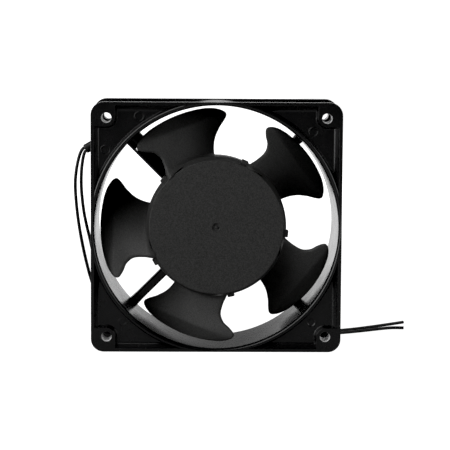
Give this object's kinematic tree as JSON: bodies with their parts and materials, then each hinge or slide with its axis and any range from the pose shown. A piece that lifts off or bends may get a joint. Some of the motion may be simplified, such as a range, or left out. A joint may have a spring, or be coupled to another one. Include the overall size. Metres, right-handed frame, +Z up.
{
  "type": "axial case fan",
  "caption": "Square axial fan with a black die-cast frame, a shaded-pole motor in its hub, broad curved blades and free black leads.",
  "frame": {"origin": "under the middle of the square frame, on the surface that it stands on", "axes": "+Z up, +Y from the inlet (front) face to the outlet (rear) face along the fan axis, +X to the right seen from the front; the fan axis is 60 mm above the origin"},
  "size_m": [0.1696, 0.086, 0.12],
  "materials": {
    "black_paint": "semi-gloss black paint on an aluminium die casting, bare metal in the screw holes",
    "black_plastic": "fine matte grain, moulded glass-filled plastic",
    "black_vinyl": "satin wire insulation",
    "white_plastic": "satin moulded nylon",
    "steel": "ground or drawn",
    "laminated_steel": "stacked sheet edges",
    "aluminium": "die cast",
    "brass": "turned",
    "copper": "enamelled copper, varnished",
    "label_film": "blank silver-grey film label"
  },
  "bodies": {
    "stator": {"frame_casting": "black_paint", "bearing_tube": "brass", "stator_core": "laminated_steel", "rear_label": "label_film", "bearing_cap": "black_plastic", "preload_washer": "steel", "front_outer_race": "steel", "rear_outer_race": "steel", "lead_sleeve": "black_vinyl", "inner_lead_a": "black_vinyl", "inner_lead_b": "black_vinyl", "lead_wire_a": "black_vinyl", "lead_wire_b": "black_vinyl", "bobbin_1": "white_plastic", "coil_1": "copper", "shading_ring_1": "copper", "bobbin_2": "white_plastic", "coil_2": "copper", "shading_ring_2": "copper", "bobbin_3": "white_plastic", "coil_3": "copper", "shading_ring_3": "copper", "bobbin_4": "white_plastic", "coil_4": "copper", "shading_ring_4": "copper"},
    "rotor": {"impeller": "black_plastic", "rotor_cup": "steel", "rotor_bush": "aluminium", "rotor_laminations": "laminated_steel", "rotor_front_end_ring": "aluminium", "rotor_rear_end_ring": "aluminium", "shaft": "steel", "thrust_washer": "brass", "shaft_clip": "steel", "front_inner_race": "steel", "rear_inner_race": "steel"},
    "front_balls": {"front_ball_set": "steel"},
    "rear_balls": {"rear_ball_set": "steel"}
  },
  "joints": [
    {"name": "rotor_spin", "type": "hinge", "parent": "stator", "child": "rotor", "pos_m": [0, 0, 0.06], "axis": [0, -1, 0], "continuous": true},
    {"name": "front_balls_spin", "type": "hinge", "parent": "stator", "child": "front_balls", "pos_m": [0, -0.0059, 0.06], "axis": [0, -1, 0], "continuous": true},
    {"name": "rear_balls_spin", "type": "hinge", "parent": "stator", "child": "rear_balls", "pos_m": [0, 0.0115, 0.06], "axis": [0, -1, 0], "continuous": true}
  ],
  "couplings": [
    {"joint": "front_balls_spin", "follows": "rotor_spin", "ratio": 0.3737},
    {"joint": "rear_balls_spin", "follows": "rotor_spin", "ratio": 0.3737}
  ]
}
